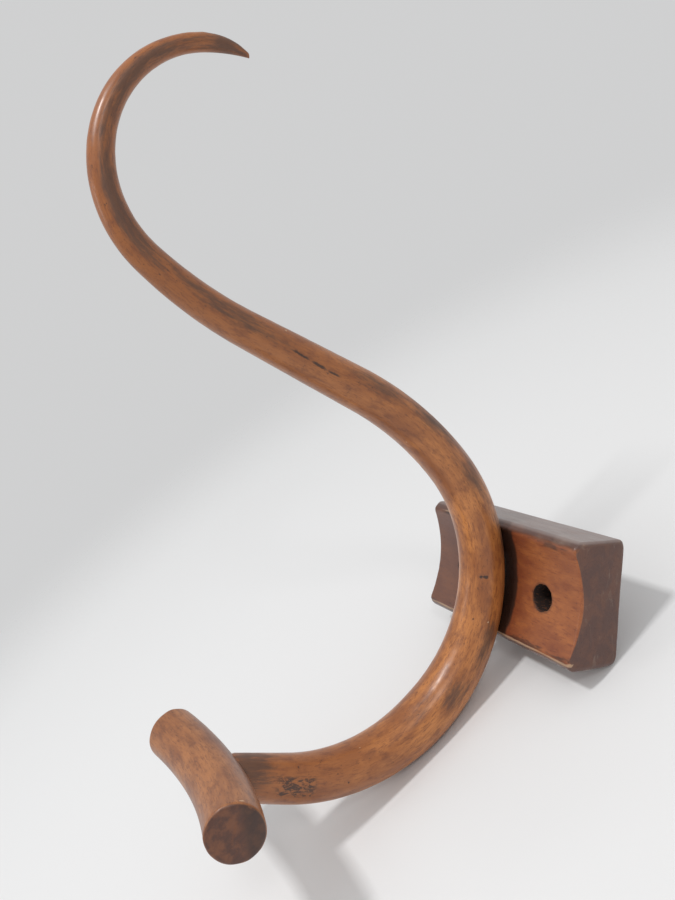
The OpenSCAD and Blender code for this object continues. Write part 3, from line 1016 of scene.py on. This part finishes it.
steel = old_steel()
for name, z, slot_turn in (("lower_screw", screw_z[0], 24), ("upper_screw", screw_z[1], -38)):
    screw = shell(name, screw_rings())
    corner = Vector((head_r * 1.5, 0, slot_w / 2))
    slot_cutter = box_between(
        "slot",
        (-corner.x, -head_sink - slot_depth, -corner.z),
        (corner.x, past, corner.z),
    )
    cut(screw, [slot_cutter])
    screw.data.transform(Matrix.Translation((0, 0, z)) @ Matrix.Rotation(np.radians(slot_turn), 4, "Y"))
    smooth(screw, 35)
    coat(screw, steel)
    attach(screw, "root")
    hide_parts("arm_screws")


# ---- The dowel -------------------------------------------------------------------------------
# A plain beech peg, glued into the arm's hollowed end and the crossbar. Nothing of it shows, so
# the fixed model's own dowel stays, with a bare wood finish.

peg_tan = (0.46, 0.28, 0.15, 1)
peg_fleck = (0.3, 0.16, 0.08, 1)


def bare_wood():
    """Unvarnished beech: pale, with faint growth lines and short flecks along the peg."""
    material, start, shader = finish_start("dowel_beech")
    place = start.place()
    clouds = place.stretched(1, 0.3, 1).noise(240, 4, 0.6)
    flecks = place.stretched(1, 0.2, 1).noise(1600, 2, 0.5).rise(0.55, 0.7)
    colour = clouds.rise(0.35, 0.65).mix(raw_beech, peg_tan)
    colour = (flecks * 0.4).mix(colour, peg_fleck)
    normal = relief(start, clouds + flecks * 0.4, 0.3, 0.2 * mm)
    connect(start, shader, Base_Color=colour, Roughness=0.6 + clouds * 0.2, Normal=normal)
    return material


coat(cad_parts["crossbar_dowel"], bare_wood())


# ---- The table, the light and the camera -----------------------------------------------------
# The hook lies on a pale table, on the back edge of its block and the underside of its arm, so
# the table slopes in the hook's own frame. It fades into the pale surroundings at its edge.

table_normal = Vector((0, -0.618, 0.786))
table_point = Vector((0, -3 * mm, block_low.z - 1 * mm))
table_r = 1.1
fade_from, fade_to = 0.55, 1.0
paper_white = (0.8, 0.8, 0.8, 1)
room_grey = (0.63, 0.632, 0.635, 1)
looked_at = Vector((0, -0.12, 0.05))  # the middle of the hook


def table_rings():
    """A flat disc as rings about its middle, turned so that its normal is the table's."""
    r = table_r * np.linspace(0.02, 1, 24)[:, None]
    turn = np.linspace(0, 2 * np.pi, 64, endpoint=False)
    across = np.array(table_normal.cross(Vector((1, 0, 0))).normalized())
    middle = np.array([0, -0.12, 0])
    middle = middle - np.dot(middle - np.array(table_point), table_normal) * np.array(table_normal)
    x = np.array([1.0, 0, 0])
    return middle + (r * np.cos(turn))[..., None] * x + (r * np.sin(turn))[..., None] * across, middle


table_points, table_middle = table_rings()
ring_count, sides = table_points.shape[:2]
table_mesh = bpy.data.meshes.new("table")
table_faces = [list(range(sides)), *ring_faces(ring_count, sides)[:, ::-1].tolist()]
table_mesh.from_pydata(table_points.reshape(-1, 3).tolist(), [], table_faces)
table = bpy.data.objects.new("table", table_mesh)
bpy.context.scene.collection.objects.link(table)
paper, paper_start, paper_shader = finish_start("pale_paper")
offset = paper_start.place().vector("DISTANCE", tuple(table_middle), "Value")
settle(paper_shader, Base_Color=paper_white, Roughness=0.9, Specular_IOR_Level=0.1)
connect(paper_start, paper_shader, Alpha=offset.rise(fade_to, fade_from))
table_mesh.materials.append(paper)

surroundings = bpy.data.worlds.new("surroundings")
surroundings.use_nodes = True
surroundings.node_tree.nodes["Background"].inputs["Color"].default_value = room_grey
surroundings.node_tree.nodes["Background"].inputs["Strength"].default_value = 1.0
bpy.context.scene.world = surroundings
bpy.context.scene.view_settings.view_transform = "Standard"


def soft_light(name, direction, distance, width, height, watts):
    """A soft lamp a distance away in a direction from the hook, turned to face it."""
    data = bpy.data.lights.new(name, "AREA")
    data.shape = "RECTANGLE"
    data.size, data.size_y = width, height
    data.energy = watts
    lamp = bpy.data.objects.new(name, data)
    away = Vector(direction).normalized()
    lamp.location = looked_at + away * distance
    lamp.rotation_mode = "QUATERNION"
    lamp.rotation_quaternion = away.to_track_quat("Z", "Y")
    bpy.context.scene.collection.objects.link(lamp)


soft_light("overhead", (0.087, -0.778, 0.621), distance=1.5, width=0.16, height=0.16, watts=9.5)
soft_light("left_window", (-0.33, -0.93, -0.1), distance=1.6, width=0.3, height=0.5, watts=1.5)
soft_light("behind_camera", (0.7, -0.45, 0.54), distance=1.8, width=0.25, height=0.25, watts=3)

view_right = Vector((0.4401, 0.8973, 0.0344))
view_down = Vector((0.1067, -0.0142, -0.9942))
view_forward = Vector((-0.8916, 0.4412, -0.1020))
camera_data = bpy.data.cameras.new("camera")
camera_data.lens = 32.6
camera_data.sensor_width = 36
camera_place = (0.416, -0.359, 0.1321)
camera = bpy.data.objects.new("camera", camera_data)
turned = Matrix((view_right, -view_down, -view_forward)).transposed()
camera.matrix_world = Matrix.Translation(camera_place) @ turned.to_4x4()
bpy.context.scene.collection.objects.link(camera)
bpy.context.scene.camera = camera
